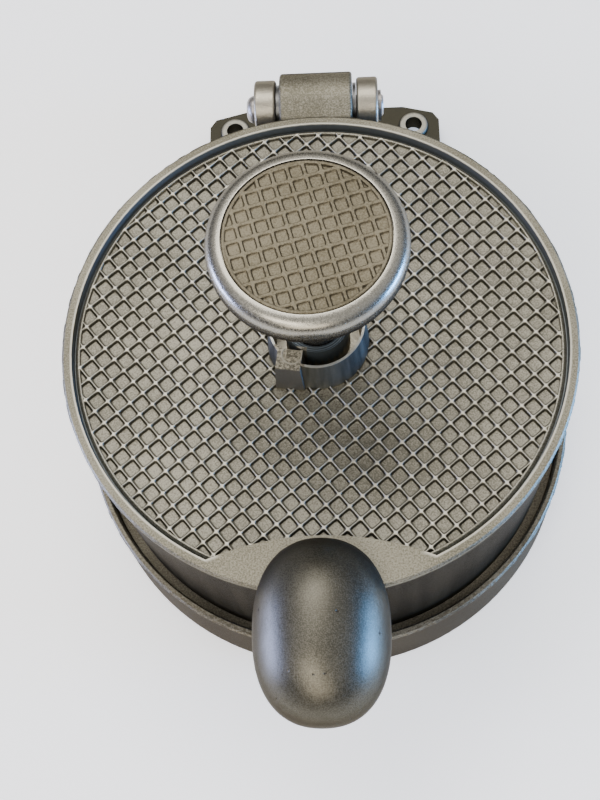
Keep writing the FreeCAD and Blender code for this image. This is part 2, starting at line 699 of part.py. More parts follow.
clip_start = "dims.ear_outside + 0.1"
pieces = [make_base()] + make_feet() + [
    make_foot_screws(),
    make_hinge_pin(),
    make_hinge_ring("hinge_pin_clip", clip_start, "dims.clip_thick", "dims.pin_radius + 1.2"),
    make_hinge_ring("hinge_washer_left", "-dims.ear_inside + 0.1", "dims.washer_thick", "6.4"),
    make_hinge_ring("hinge_washer_right", "dims.ear_inside - 0.1 - dims.washer_thick",
                    "dims.washer_thick", "6.4"),
    make_lid(),
    make_handle(),
] + make_handle_screws() + [
    make_spring_seat(),
    make_spring(),
    make_stem(),
    make_knob(),
    make_inlay(),
    make_press_plate(),
    make_plate_washer(),
    make_plate_screw(),
]
doc.recompute()

for thing in doc.Objects:
    if "Invalid" in thing.State or "Error" in thing.State:
        raise RuntimeError(f"{thing.Label} failed: {thing.State}")

os.makedirs("parts", exist_ok=True)
for piece in pieces:
    shape = piece.Shape
    if shape.isNull() or not shape.isValid() or not shape.Solids:
        raise RuntimeError(f"{piece.Label} has no valid solid")
    shape.exportStep(f"parts/{piece.Label}.step")
    print(f"{piece.Label:22s} solids {len(shape.Solids)}  volume {shape.Volume / 1000:8.2f} cm3")
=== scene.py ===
# %% [markdown]
# # A cast patty press
# This lesson dresses the solid model of a kitchen press that shapes minced meat into a
# round patty. The solids already stand in the right place, so this script adds what solids
# lack: the crosshatched grip on the lid and knob, the ragged edges that sand casting leaves,
# a copy of the spring with a mesh of its own, and metal finishes with grain and wear, and
# painted shade in corners and painted highlights on edges. Every length is in metres.

import math

import bmesh
import bpy
import numpy as np
from mathutils import Matrix, Vector


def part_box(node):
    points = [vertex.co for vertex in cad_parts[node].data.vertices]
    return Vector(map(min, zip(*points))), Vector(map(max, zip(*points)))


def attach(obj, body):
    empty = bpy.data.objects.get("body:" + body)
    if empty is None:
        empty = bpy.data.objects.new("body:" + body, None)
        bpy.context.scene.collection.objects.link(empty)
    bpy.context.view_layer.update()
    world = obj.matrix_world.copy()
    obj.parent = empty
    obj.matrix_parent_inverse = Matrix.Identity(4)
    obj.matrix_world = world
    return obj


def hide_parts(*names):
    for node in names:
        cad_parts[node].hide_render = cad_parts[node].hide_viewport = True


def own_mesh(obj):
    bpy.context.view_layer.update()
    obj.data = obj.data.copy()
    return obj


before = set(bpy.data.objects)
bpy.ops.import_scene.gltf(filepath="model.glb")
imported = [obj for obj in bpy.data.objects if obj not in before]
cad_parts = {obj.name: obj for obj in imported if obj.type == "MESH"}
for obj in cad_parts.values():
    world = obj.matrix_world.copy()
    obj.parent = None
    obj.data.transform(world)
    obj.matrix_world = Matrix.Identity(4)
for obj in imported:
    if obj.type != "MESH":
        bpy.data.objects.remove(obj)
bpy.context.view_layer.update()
print("solids loaded:", len(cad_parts))

# %% [markdown]
# The plunger's axis is the centre of nearly everything: dish, ring, collar and knob. Its
# place is read from the knob itself. Lengths on this press are easier to think of in
# millimetres, so a small factor turns them into metres.

# %% Where the plunger's axis stands
MM = 0.001
knob_low, knob_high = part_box("knob_body")
AXIS_X = (knob_low.x + knob_high.x) / 2
AXIS_Y = (knob_low.y + knob_high.y) / 2
KNOB_TOP = knob_high.z
print("plunger axis at", round(AXIS_X / MM, 2), round(AXIS_Y / MM, 2), "mm")

# %% [markdown]
# The camera comes first, because how large a detail looks decides how finely it is made.
# It stands about a hand's length above the knob, a little in front of it and looks steeply
# down, so that the lid fills the view and the dish shows only as a crescent below it.
# Three turns build its pose: round the upright axis, down towards the table, then a slight
# lean of the camera itself.

# %% Camera
CAMERA_PLACE = Vector((11.41 * MM, AXIS_Y - 123.86 * MM, 363.65 * MM))
TURN, DOWN, LEAN = (math.radians(angle) for angle in (-8.5, 69.08, -9.44))
LENS = 55.485


def camera_pose():
    """World matrix of a camera that is turned, tipped down and leant over."""
    look = Matrix(((1, 0, 0),
                   (0, -math.sin(DOWN), -math.cos(DOWN)),
                   (0, math.cos(DOWN), -math.sin(DOWN))))
    right, low, ahead = (Matrix.Rotation(LEAN, 3, "Z") @ look @ Matrix.Rotation(TURN, 3, "Z"))
    pose = Matrix((right, -low, -ahead)).transposed().to_4x4()
    pose.translation = CAMERA_PLACE
    return pose


camera_data = bpy.data.cameras.new("camera")
camera_data.lens = LENS
camera_data.sensor_width = 36
camera_data.clip_start = 0.01
camera = bpy.data.objects.new("camera", camera_data)
bpy.context.scene.collection.objects.link(camera)
camera.matrix_world = camera_pose()
bpy.context.scene.camera = camera
print("camera", [round(v, 3) for v in camera.location])

# %% [markdown]
# Light makes bare metal: it has hardly any colour of its own and shows whatever is round
# it. Point lamps would leave hard dots on it, so every light is a soft panel. Two warm ones
# in front, one low and one high, brighten the handle's nose and the knob's near side. One
# nearly overhead makes flat tops pale. A low cool one on each side leaves a blue band on the
# handle and the knob, as windows would, while the lid's rim shades its grid from them.

# %% Light panels


def panel(name, place, size, glow, colour, aim=(0, 0, 0.08)):
    """Soft rectangular light of a given brightness that faces a point on the press."""
    light = bpy.data.lights.new(name, "AREA")
    light.shape = "RECTANGLE"
    light.size, light.size_y = size
    light.energy = glow * math.pi * size[0] * size[1]
    light.color = colour
    lamp = bpy.data.objects.new(name, light)
    bpy.context.scene.collection.objects.link(lamp)
    lamp.location = place
    lamp.rotation_euler = (Vector(aim) - Vector(place)).to_track_quat("-Z", "Y").to_euler()
    return lamp


panel("front_panel", (-0.05, -0.80, 0.60), (0.50, 0.34), 6.0, (1.0, 0.90, 0.76))
panel("high_panel", (-0.28, -0.55, 0.86), (0.42, 0.30), 11.0, (1.0, 0.93, 0.82))
panel("back_panel", (-0.15, 0.42, 1.12), (0.7, 0.4), 9.0, (1.0, 0.97, 0.92))
panel("right_panel", (0.72, -0.10, 0.095), (0.30, 0.10), 120.0, (0.14, 0.42, 1.0))
panel("left_panel", (-0.72, -0.08, 0.095), (0.36, 0.12), 55.0, (0.42, 0.52, 1.0))

# %% [markdown]
# The room fills in between the panels. A plain even colour would make metal look like
# plaster, so its brightness climbs with height: nearly dark at the horizon, which keeps the
# far wall of each cell dark, and bright overhead.

# %% Room
HORIZON_GLOW, CEILING_GLOW = 0.12, 1.15
CLIMB_STARTS, CLIMB_ENDS = 0.18, 0.85
world = bpy.data.worlds.new("room")
world.use_nodes = True
sky = world.node_tree
direction = sky.nodes.new("ShaderNodeTexCoord")
split = sky.nodes.new("ShaderNodeSeparateXYZ")
height_ramp = sky.nodes.new("ShaderNodeMapRange")
height_ramp.interpolation_type = "SMOOTHSTEP"
height_ramp.inputs["From Min"].default_value = CLIMB_STARTS
height_ramp.inputs["From Max"].default_value = CLIMB_ENDS
height_ramp.inputs["To Min"].default_value = HORIZON_GLOW
height_ramp.inputs["To Max"].default_value = CEILING_GLOW
sky.links.new(direction.outputs["Generated"], split.inputs[0])
sky.links.new(split.outputs["Z"], height_ramp.inputs["Value"])
sky.links.new(height_ramp.outputs["Result"], sky.nodes["Background"].inputs["Strength"])
sky.nodes["Background"].inputs["Color"].default_value = (1.0, 0.985, 0.96, 1)
bpy.context.scene.world = world
print("room glows from", HORIZON_GLOW, "to", CEILING_GLOW)

# %% [markdown]
# The press stands on a pale, plain floor. A floor lit only by the room would turn grey under
# the press, so it glows a little itself, like a sheet of paper on a light table.

# %% Floor
FLOOR_HALF = 3.0
FLOOR_GLOW = 0.60
floor_mesh = bpy.data.meshes.new("floor")
floor_mesh.from_pydata([(-FLOOR_HALF, -FLOOR_HALF, 0), (FLOOR_HALF, -FLOOR_HALF, 0),
                        (FLOOR_HALF, FLOOR_HALF, 0), (-FLOOR_HALF, FLOOR_HALF, 0)],
                       [], [(0, 1, 2, 3)])
floor = bpy.data.objects.new("floor", floor_mesh)
bpy.context.scene.collection.objects.link(floor)
floor_paint = bpy.data.materials.new("pale_floor")
floor_paint.use_nodes = True
floor_shader = floor_paint.node_tree.nodes["Principled BSDF"]
floor_shader.inputs["Base Color"].default_value = (0.95, 0.95, 0.945, 1)
floor_shader.inputs["Roughness"].default_value = 0.9
floor_shader.inputs["Emission Color"].default_value = (1.0, 0.995, 0.985, 1)
floor_shader.inputs["Emission Strength"].default_value = FLOOR_GLOW
floor_mesh.materials.append(floor_paint)
print("floor laid")

# %% [markdown]
# Every metal here is the same recipe with other numbers: a colour that drifts slightly,
# a fine grain left by blasting with beads, larger soft blotches, and dark pin holes. Small
# helpers keep the node wiring short. Patterns use object coordinates, which are metres, so
# a scale of 1000 gives features of about a millimetre.

# %% Node helpers


class Nodes:
    """One material's node tree, with short names for the nodes used most."""

    def __init__(self, name):
        self.material = bpy.data.materials.new(name)
        self.material.use_nodes = True
        self.tree = self.material.node_tree
        self.shader = self.tree.nodes["Principled BSDF"]
        self.place = self.add("ShaderNodeTexCoord").outputs["Object"]

    def add(self, kind, **settings):
        node = self.tree.nodes.new(kind)
        for key, setting in settings.items():
            setattr(node, key, setting)
        return node

    def link(self, source, target):
        if isinstance(source, (int, float)):
            target.default_value = source
        elif isinstance(source, tuple):
            target.default_value = (*source, 1)
        else:
            self.tree.links.new(source, target)

    def noise(self, scale, detail=2.0, rough=0.5):
        node = self.add("ShaderNodeTexNoise")
        node.inputs["Scale"].default_value = scale
        node.inputs["Detail"].default_value = detail
        node.inputs["Roughness"].default_value = rough
        self.link(self.place, node.inputs["Vector"])
        return node.outputs["Fac"]

    def ramp(self, value, low, high, out_low=0.0, out_high=1.0, smooth=True):
        node = self.add("ShaderNodeMapRange")
        node.interpolation_type = "SMOOTHSTEP" if smooth else "LINEAR"
        for socket, number in (("Value", value), ("From Min", low), ("From Max", high),
                               ("To Min", out_low), ("To Max", out_high)):
            self.link(number, node.inputs[socket])
        return node.outputs["Result"]

    def math(self, operation, first, second=0.0):
        node = self.add("ShaderNodeMath", operation=operation)
        self.link(first, node.inputs[0])
        self.link(second, node.inputs[1])
        return node.outputs[0]

    def mix(self, factor, first, second):
        node = self.add("ShaderNodeMix", data_type="RGBA")
        self.link(factor, node.inputs["Factor"])
        self.link(first, node.inputs[6])
        self.link(second, node.inputs[7])
        return node.outputs[2]

    def axes(self):
        node = self.add("ShaderNodeSeparateXYZ")
        self.link(self.place, node.inputs[0])
        return node.outputs

    def reach(self, row=AXIS_Y):
        """Distance from an upright line, which is the plunger's axis unless a row is given."""
        x, y, _ = self.axes()
        shifted = self.math("SUBTRACT", y, row)
        squares = self.math("ADD", self.math("MULTIPLY", x, x),
                            self.math("MULTIPLY", shifted, shifted))
        return self.math("SQRT", squares)

    def both(self, *masks):
        """Mask that is open only where all the given masks are."""
        joined = masks[0]
        for mask in masks[1:]:
            joined = self.math("MULTIPLY", joined, mask)
        return joined

    def bump(self, height, depth):
        node = self.add("ShaderNodeBump")
        node.inputs["Distance"].default_value = depth
        node.inputs["Strength"].default_value = 1.0
        self.link(height, node.inputs["Height"])
        self.link(node.outputs["Normal"], self.shader.inputs["Normal"])


print("helpers ready")

# %% [markdown]
# Blasted aluminium looks like fine dry sand: it scatters light widely, and single grains
# sparkle. The colour is a warm grey, because the casting is unpainted and slightly stained.
# Grain goes into three places at once, colour, roughness and bump, since a real grain
# changes all of them.

# %% Cast metal recipe


BLOTCH_SCALE = 45.0
METAL_SHARE = 0.9
PIT_COLOUR = (0.05, 0.045, 0.04)
EDGE_SHEEN = (0.30, 0.28, 0.25, 1)


def cast_metal(name, dark, light, rough, grain, relief=0.05 * MM, pits=0.0):
    """Blasted casting whose colour runs from dark to light with its grain."""
    n = Nodes(name)
    fine = n.noise(grain, 3.0, 0.75)
    broad = n.noise(BLOTCH_SCALE, 2.0)
    drift = n.math("ADD", n.math("MULTIPLY", fine, 0.75), n.math("MULTIPLY", broad, 0.25))
    colour = n.mix(n.ramp(drift, 0.40, 0.60), dark, light)
    height = fine
    if pits:
        dots = n.add("ShaderNodeTexVoronoi")
        dots.inputs["Scale"].default_value = pits
        n.link(n.place, dots.inputs["Vector"])
        hole = n.ramp(dots.outputs["Distance"], 0.05, 0.11)
        chosen = n.ramp(n.noise(pits * 0.7), 0.52, 0.56)
        hole = n.math("MAXIMUM", hole, n.math("SUBTRACT", 1.0, chosen))
        colour = n.mix(hole, PIT_COLOUR, colour)
        height = n.math("ADD", height, n.math("MULTIPLY", hole, 4.0))
    n.link(colour, n.shader.inputs["Base Color"])
    n.link(n.ramp(fine, 0.3, 0.7, rough - 0.06, rough + 0.08), n.shader.inputs["Roughness"])
    n.shader.inputs["Metallic"].default_value = METAL_SHARE
    n.shader.inputs["Specular Tint"].default_value = EDGE_SHEEN
    n.bump(height, relief)
    return n


def recolour(n, mask, finish):
    """Lays another colour over a casting's own wherever the mask is open."""
    base_colour = n.shader.inputs["Base Color"]
    n.link(n.mix(mask, base_colour.links[0].from_socket, finish), base_colour)


def dress(node_name, material):
    """Gives a solid of the press its finish."""
    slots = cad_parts[node_name].data.materials
    if len(slots):
        for index in range(len(slots)):
            slots[index] = material
    else:
        slots.append(material)


print("recipe ready")

# %% [markdown]
# The lid is one casting with several finishes. Painting a map by hand would need unwrapping;
# telling the finishes apart by where a point lies needs only its coordinates, so each part
# of the lid gets a mask. The rim's flat top is coarse and pale, with a painted highlight along
# its inner edge. The channel inside it is painted shade. The ring's outer wall is smooth, and
# its dark brown is painted shade.

# %% Masks of rim, wall and channel
LID_TOP = 80 * MM
RECESS_FLOOR = 77 * MM
RIM_INSIDE = 62.5 * MM
PAD_CENTRE = 122.4 * MM
PAD_RADIUS = 71.5 * MM
lid = cast_metal("lid_casting", (0.115, 0.106, 0.078), (0.265, 0.249, 0.197), 0.52, grain=2300)
x, y, z = lid.axes()
reach = lid.reach()
above_floor = lid.ramp(z, RECESS_FLOOR + 0.2 * MM, RECESS_FLOOR + 0.6 * MM)
on_wall = lid.both(lid.ramp(z, RECESS_FLOOR + 0.2 * MM, RECESS_FLOOR - 0.2 * MM),
                   lid.ramp(reach, RIM_INSIDE + 0.5 * MM, RIM_INSIDE + 1.1 * MM))
# Painted shade: the channel inside the rim is painted grey-blue, as if shaded.
channel_shade = lid.both(lid.ramp(reach, 60.5 * MM, 61.5 * MM),
                      lid.ramp(reach, RIM_INSIDE + 0.15 * MM, RIM_INSIDE),
                      lid.ramp(z, LID_TOP - 0.25 * MM, LID_TOP - 0.5 * MM))
# Painted highlight: a pale line along the rim's inner top edge.
rim_edge_highlight = lid.both(lid.ramp(z, LID_TOP - 0.5 * MM, LID_TOP - 0.3 * MM),
                    lid.ramp(reach, RIM_INSIDE + 0.6 * MM, RIM_INSIDE + 0.25 * MM),
                    lid.ramp(reach, 60 * MM, 61 * MM),
                    lid.ramp(lid.reach(AXIS_Y - PAD_CENTRE), PAD_RADIUS - 1 * MM, PAD_RADIUS))
print("recess floor", round(LID_TOP - RECESS_FLOOR, 4), "m below the rim")

# %% [markdown]
# Collar and guide tube are turned on a lathe, so they are darker, cooler and finely ringed.
# The small block cast against the collar is coarse again. It stands at a slight angle, and
# its mask uses coordinates turned by that angle: across the block and along it.

# %% Masks of collar, tube and block
COLLAR_TOP = 89.2 * MM
COLLAR_RADIUS = 11.9 * MM
TUBE_RADIUS = 7.8 * MM
BLOCK_TURN = math.radians(8)
BLOCK_SIDES = (-9.2 * MM, -1.6 * MM)
BLOCK_ENDS = (-14.2 * MM, -6.9 * MM)
MARK_PLACE = (-6.0 * MM, -8.2 * MM)
MARK_RADIUS = 2.4 * MM
from_row = lid.math("SUBTRACT", y, AXIS_Y)
across = lid.math("SUBTRACT", lid.math("MULTIPLY", x, math.cos(BLOCK_TURN)),
                  lid.math("MULTIPLY", from_row, math.sin(BLOCK_TURN)))
along = lid.math("ADD", lid.math("MULTIPLY", x, math.sin(BLOCK_TURN)),
                 lid.math("MULTIPLY", from_row, math.cos(BLOCK_TURN)))
on_block = lid.both(lid.ramp(across, BLOCK_SIDES[1] + 0.3 * MM, BLOCK_SIDES[1]),
                    lid.ramp(across, BLOCK_SIDES[0] - 0.3 * MM, BLOCK_SIDES[0]),
                    lid.ramp(along, BLOCK_ENDS[1] + 0.3 * MM, BLOCK_ENDS[1]),
                    lid.ramp(along, BLOCK_ENDS[0] - 0.4 * MM, BLOCK_ENDS[0]), above_floor)
on_top = lid.both(on_block, lid.ramp(z, COLLAR_TOP - 0.6 * MM, COLLAR_TOP - 0.45 * MM))
# Painted highlight: a pale line along the block's top edge that faces the handle.
block_edge_highlight = lid.both(on_top, lid.ramp(along, BLOCK_ENDS[0] + 1.3 * MM,
                                       BLOCK_ENDS[0] + 1.0 * MM))
mark_x = lid.math("SUBTRACT", x, MARK_PLACE[0])
mark_y = lid.math("SUBTRACT", from_row, MARK_PLACE[1])
from_mark = lid.math("SQRT", lid.math("ADD", lid.math("MULTIPLY", mark_x, mark_x),
                                      lid.math("MULTIPLY", mark_y, mark_y)))
# The ring mark on the block's top is real; its pale ring is a painted highlight on the mark's edge.
ring_mark_and_highlight = lid.both(on_top, lid.ramp(from_mark, MARK_RADIUS - 0.4 * MM, MARK_RADIUS - 0.1 * MM),
                     lid.ramp(from_mark, MARK_RADIUS + 0.5 * MM, MARK_RADIUS + 0.1 * MM))
turned = lid.both(lid.ramp(reach, COLLAR_RADIUS + 1.3 * MM, COLLAR_RADIUS + 1.0 * MM),
                  above_floor, lid.math("SUBTRACT", 1.0, on_block))
# Painted light: the collar's inside is painted pale, as if lit, where it lies in shade.
inside = lid.both(turned, lid.ramp(reach, COLLAR_RADIUS - 0.6 * MM, COLLAR_RADIUS - 0.8 * MM))
on_tube = lid.both(turned, lid.ramp(reach, TUBE_RADIUS + 0.2 * MM, TUBE_RADIUS + 0.1 * MM))
# Painted highlight: a pale line round the collar's top edge.
collar_edge_highlight = lid.both(turned, lid.ramp(z, COLLAR_TOP - 0.35 * MM, COLLAR_TOP - 0.1 * MM),
                     lid.ramp(reach, COLLAR_RADIUS - 1.0 * MM, COLLAR_RADIUS - 0.7 * MM))
print("block turned by", round(math.degrees(BLOCK_TURN), 1), "degrees")

# %% [markdown]
# The mould is drawn up off the ring's wall and leaves faint upright streaks; a cutter leaves
# rings on the tube. Streaks are ordinary noise stretched tall, by squeezing its upright
# coordinate. Rings are a sine wave of the distance from the axis, one wave to each turn of
# the cutter.

# %% Streaks and turned rings
STREAK_SCALE = 420
STREAK_STRETCH = 0.03
upright = lid.add("ShaderNodeMapping")
upright.inputs["Scale"].default_value = (1, 1, STREAK_STRETCH)
lid.link(lid.place, upright.inputs["Vector"])
streaks = lid.add("ShaderNodeTexNoise")
streaks.inputs["Scale"].default_value = STREAK_SCALE
lid.link(upright.outputs["Vector"], streaks.inputs["Vector"])
# The upright streaks are real; the wall's dark brown is painted shade.
streaked_wall_shade = lid.mix(lid.ramp(streaks.outputs["Fac"], 0.35, 0.65),
                (0.036, 0.032, 0.024), (0.051, 0.047, 0.036))
RING_STEP = 0.55 * MM
rings = lid.ramp(lid.math("SINE", lid.math("MULTIPLY", reach, 2 * math.pi / RING_STEP)), -1, 1)
bare = lid.mix(lid.ramp(streaks.outputs["Fac"], 0.35, 0.65),
               (0.115, 0.120, 0.113), (0.22, 0.225, 0.210))
ringed = lid.mix(rings, (0.07, 0.085, 0.10), (0.20, 0.24, 0.27))
speckled = lid.mix(lid.ramp(lid.noise(1300, 4.0, 0.8), 0.42, 0.62),
                   (0.15, 0.138, 0.105), (0.52, 0.48, 0.38))
print("rings", round(RING_STEP / MM, 2), "mm apart")

# %% [markdown]
# The finishes go on in order, like coats of paint, so a later one covers an earlier one
# where their masks overlap: the tube lies within the collar, and the ring mark on the block.

# %% Lid colours in order
for mask, finish in ((on_wall, streaked_wall_shade), (channel_shade, (0.15, 0.165, 0.17)),
                     (lid.math("MULTIPLY", rim_edge_highlight, 0.6), (0.60, 0.58, 0.50)),
                     (turned, bare), (inside, (0.42, 0.39, 0.32)), (on_tube, ringed),
                     (collar_edge_highlight, (0.55, 0.55, 0.50)), (on_block, (0.17, 0.165, 0.145)),
                     (on_top, speckled), (ring_mark_and_highlight, (0.50, 0.47, 0.38)),
                     (block_edge_highlight, (0.55, 0.52, 0.43))):
    recolour(lid, mask, finish)
lid_rough = lid.shader.inputs["Roughness"].links[0].from_socket
for mask, smoother in ((on_wall, 0.10), (turned, 0.12)):
    lid_rough = lid.math("SUBTRACT", lid_rough, lid.math("MULTIPLY", mask, smoother))
lid.link(lid_rough, lid.shader.inputs["Roughness"])
dress("lid", lid.material)
print("lid finish uses", len(lid.tree.nodes), "nodes")

# %% [markdown]
# The dish is a little browner and rougher than the lid, the knob and the handle are polished
# by hands, and the inlay is dull bronze-grey. They share the recipe and differ in numbers
# only, which keeps them looking like metal from one foundry.

# %% Other castings
base_metal = cast_metal("base_casting", (0.105, 0.094, 0.070), (0.25, 0.23, 0.18), 0.50,
                        grain=2000, relief=0.07 * MM)
knob_metal = cast_metal("knob_casting", (0.20, 0.19, 0.163), (0.27, 0.258, 0.222), 0.27,
                        grain=2600, relief=0.012 * MM, pits=160)
handle_metal = cast_metal("handle_casting", (0.062, 0.058, 0.046), (0.118, 0.112, 0.092), 0.36,
                          grain=3000, relief=0.04 * MM, pits=240)
inlay_metal = cast_metal("inlay_casting", (0.095, 0.083, 0.056), (0.205, 0.183, 0.135), 0.55,
                         grain=2400, relief=0.03 * MM)
plate_metal = cast_metal("plate_casting", (0.45, 0.45, 0.44), (0.60, 0.60, 0.58), 0.35,
                         grain=900, relief=0.01 * MM)
print("castings mixed")

# %% [markdown]
# The dish and the knob carry painted light and shade. The dish's outer wall is painted dark as
# painted shade, and the tail is painted dark. The faces of the two bench bosses carry a painted
# highlight, the hinge's ears are smoother and carry a painted highlight, and the knob is painted
# dark below its widest line as painted shade.

# %% Painted light and shade on the dish and the knob
DISH_WALL_TOP = 27 * MM
DISH_WALL = (67 * MM, 70.6 * MM)
TAIL_TOP = 9 * MM
BOSS_FACE = 8.3 * MM
EARS_START, EARS_FULL = 58 * MM, 62 * MM
KNOB_WIDEST = KNOB_TOP - 3.6 * MM
height_on_base, reach_on_base = base_metal.axes()[2], base_metal.reach()
# Painted shade: the dish's outer wall is painted dark.
skirt_shade = base_metal.both(
    base_metal.ramp(height_on_base, DISH_WALL_TOP + 0.2 * MM, DISH_WALL_TOP - 0.2 * MM),
    base_metal.ramp(reach_on_base, DISH_WALL[0], DISH_WALL[0] + 0.5 * MM),
    base_metal.ramp(reach_on_base, DISH_WALL[1], DISH_WALL[1] - 0.5 * MM))
# Painted highlight: the ears are painted lighter; they are also made smoother.
ears_highlight_and_smoothing = base_metal.ramp(height_on_base, EARS_START, EARS_FULL)
# The tail is painted dark.
on_tail = base_metal.both(base_metal.ramp(height_on_base, TAIL_TOP + 3 * MM, TAIL_TOP),
                          base_metal.ramp(reach_on_base, 71 * MM, 73 * MM))
# Painted highlight: the faces of the bench bosses are painted pale.
boss_highlight = base_metal.ramp(height_on_base, BOSS_FACE - 0.3 * MM, BOSS_FACE)
dark_tail_and_boss_highlight = base_metal.mix(boss_highlight, (0.045, 0.042, 0.031), (0.32, 0.305, 0.255))
# Painted shade: the knob is painted dark below its widest line.
knob_underside_shade = knob_metal.ramp(knob_metal.axes()[2], KNOB_WIDEST, KNOB_WIDEST - 2 * MM)
for casting, mask, share, finish in ((base_metal, skirt_shade, 0.8, (0.055, 0.048, 0.036)),
                                     (base_metal, on_tail, 1.0, dark_tail_and_boss_highlight),
                                     (base_metal, ears_highlight_and_smoothing, 0.7, (0.34, 0.315, 0.26)),
                                     (knob_metal, knob_underside_shade, 0.8, (0.045, 0.042, 0.036))):
    recolour(casting, casting.math("MULTIPLY", mask, share), finish)
base_rough = base_metal.shader.inputs["Roughness"].links[0].from_socket
base_metal.link(base_metal.math("SUBTRACT", base_rough,
                                base_metal.math("MULTIPLY", ears_highlight_and_smoothing, 0.16)),
                base_metal.shader.inputs["Roughness"])
dress("base", base_metal.material)
dress("knob_body", knob_metal.material)
dress("handle", handle_metal.material)
dress("press_plate", plate_metal.material)
print("castings dressed")

# %% [markdown]
# Bought parts are steel and rubber. Steel is tighter grained and shinier than the castings.
# Rubber is not a metal at all: it is dark, and soft light just slides off it.

# %% Steel and rubber


def steel(name, tint, rough, streak):
    """Turned or drawn steel with fine lines across its length."""
    n = Nodes(name)
    lines = n.noise(streak, 1.0)
    n.link(n.mix(n.ramp(lines, 0.3, 0.7), tuple(0.75 * c for c in tint), tint),
           n.shader.inputs["Base Color"])
    n.link(n.ramp(lines, 0.3, 0.7, rough - 0.05, rough + 0.07), n.shader.inputs["Roughness"])
    n.shader.inputs["Metallic"].default_value = 1.0
    n.bump(lines, 0.01 * MM)
    return n.material


fasteners = steel("fastener_steel", (0.50, 0.50, 0.49), 0.30, 2500)
pins = steel("pin_steel", (0.34, 0.32, 0.30), 0.42, 1500)
# The washers are painted dark as painted shade of the gaps they sit in.
shaded_washers = steel("washer_steel", (0.16, 0.16, 0.16), 0.40, 1800)
spring_wire = steel("spring_steel", (0.36, 0.36, 0.36), 0.28, 3000)
stem_steel = steel("stem_steel", (0.60, 0.60, 0.60), 0.18, 3500)
rubber = Nodes("feet_rubber")
dust = rubber.noise(900, 3.0)
rubber.link(rubber.mix(rubber.ramp(dust, 0.35, 0.7), (0.018, 0.018, 0.018), (0.05, 0.048, 0.045)),
            rubber.shader.inputs["Base Color"])
rubber.shader.inputs["Roughness"].default_value = 0.75
rubber.bump(dust, 0.03 * MM)

for finish, members in (
        (fasteners, ("foot_screws", "handle_screws", "plate_screw")),
        (pins, ("hinge_pin", "hinge_pin_clip")),
        (shaded_washers, ("hinge_washer_left", "hinge_washer_right", "handle_lock_washers",
                   "spring_seat", "plate_washer")),
        (spring_wire, ("return_spring",)),
        (stem_steel, ("plunger_stem",)),
        (rubber.material, ("foot_front_left", "foot_front_right",
                           "foot_rear_left", "foot_rear_right"))):
    for member in members:
        dress(member, finish)
print("bought parts dressed")

# %% [markdown]
# A pressed spring gets shorter while its foot stays put, which no rigid solid can do. So a
# copy of the coil, with a mesh of its own on a body of its own, stands for the solid. A coil
# of even pitch closes up as if all its turns were scaled alike.

# %% Return spring copy
spring_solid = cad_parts["return_spring"]
return_coil = bpy.data.objects.new("return_coil", spring_solid.data.copy())
bpy.context.scene.collection.objects.link(return_coil)
return_coil.matrix_world = spring_solid.matrix_world.copy()
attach(return_coil, "spring")
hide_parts("return_spring")
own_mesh(return_coil)

# %% [markdown]
# The lid's grip is a square lattice of ridges cast into its recess, with rounded, flat
# bottomed cells between them. A boolean of seven hundred pockets would be slow and fragile,
# so it is made as a sheet of points whose height follows a rule. The points crowd together
# where the walls stand, and are sparse on the flats. The sheet runs a little way into the
# rim, the smooth pad and the collar, so that those solids trim it to a clean edge.

# %% Points of a lattice, crowded at the walls
WALL_STEPS = (0.0, 0.03, 0.06, 0.09, 0.12, 0.155, 0.20, 0.33)


def lattice_line(pitch, phase, extent):
    """Positions along one direction, and how far each lies from a cell's middle (0 to 1)."""
    half = list(WALL_STEPS) + [0.5] + [1 - step for step in reversed(WALL_STEPS[1:])]
    first, last = math.floor(-extent / pitch) - 1, math.ceil(extent / pitch) + 1
    places = np.array([cell + step for cell in range(first, last) for step in half])
    return (places + phase) * pitch, np.abs(1 - 2 * (places % 1.0))


def cell_height(away_u, away_v, corner, floor_edge, top_edge):
    """0 on a cell's floor, 1 on top of a ridge, with rounded cell corners."""
    spread = (away_u ** corner + away_v ** corner) ** (1 / corner)
    climb = np.clip((spread - floor_edge) / (top_edge - floor_edge), 0, 1)
    return climb * climb * (3 - 2 * climb)


print("points across one cell:", 2 * len(WALL_STEPS))

# %% [markdown]
# The sheet alone would be paper thin, and its cut edge would show. So its border is pulled
# down to a common depth and closed underneath, which makes it a solid plate.

# %% Sheet with a closed underside


